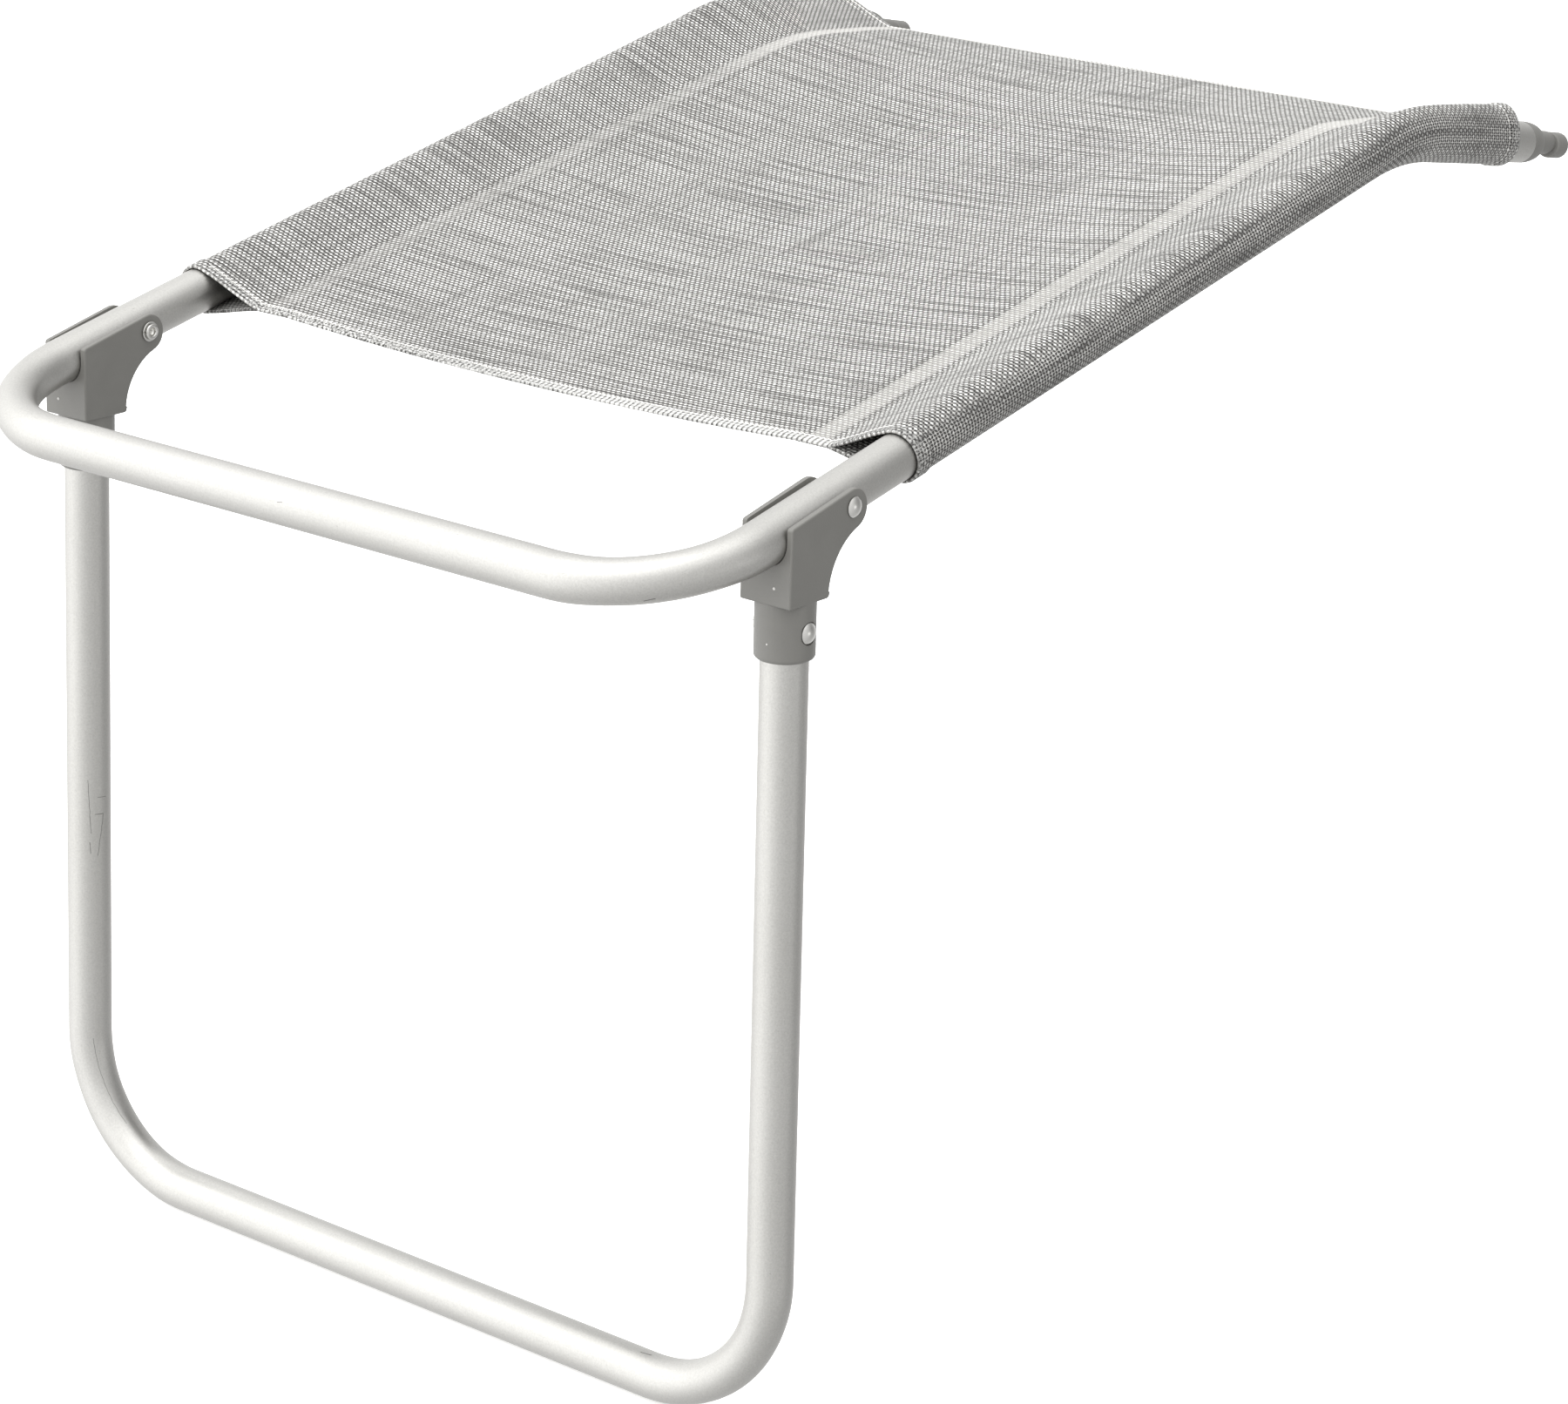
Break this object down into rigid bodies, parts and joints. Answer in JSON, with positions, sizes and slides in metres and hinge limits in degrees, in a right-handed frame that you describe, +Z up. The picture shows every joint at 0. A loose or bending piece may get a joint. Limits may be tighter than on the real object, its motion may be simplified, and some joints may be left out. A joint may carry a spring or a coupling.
{
  "type": "folding leg rest",
  "caption": "Folding leg rest that hooks onto the front of a camping chair: a bent tube seat frame with a stretched mesh sling and a folding U-shaped leg",
  "frame": {"origin": "midway between the necks of the two hook pegs, where the chair holds the leg rest", "axes": "+X to the right as seen from the front bar, +Y from the front bar towards the chair, +Z up; the frame stands as in use"},
  "size_m": [0.4736, 0.7559, 0.5321],
  "materials": {
    "frame_tube": "satin anodised",
    "sling_mesh": "coated woven mesh, matte",
    "bracket_plastic": "satin moulded",
    "rivet_steel": "zinc plated"
  },
  "bodies": {
    "seat": {"seat_tube": "frame_tube", "sling": "sling_mesh", "hook_plug_left": "bracket_plastic", "hook_plug_right": "bracket_plastic", "pivot_spacer_left": "rivet_steel", "pivot_spacer_right": "rivet_steel"},
    "leg": {"leg_tube": "frame_tube", "bracket_left": "bracket_plastic", "bracket_right": "bracket_plastic", "pivot_rivet_left": "rivet_steel", "pivot_rivet_right": "rivet_steel", "pivot_washer_left": "rivet_steel", "pivot_washer_right": "rivet_steel", "socket_rivet_left": "rivet_steel", "socket_rivet_right": "rivet_steel", "socket_washer_left": "rivet_steel", "socket_washer_right": "rivet_steel"}
  },
  "joints": [
    {"name": "leg_fold", "type": "hinge", "parent": "seat", "child": "leg", "pos_m": [0, -0.61534, -0.04158], "axis": [1, 0, 0], "range_deg": [0, 102]}
  ]
}
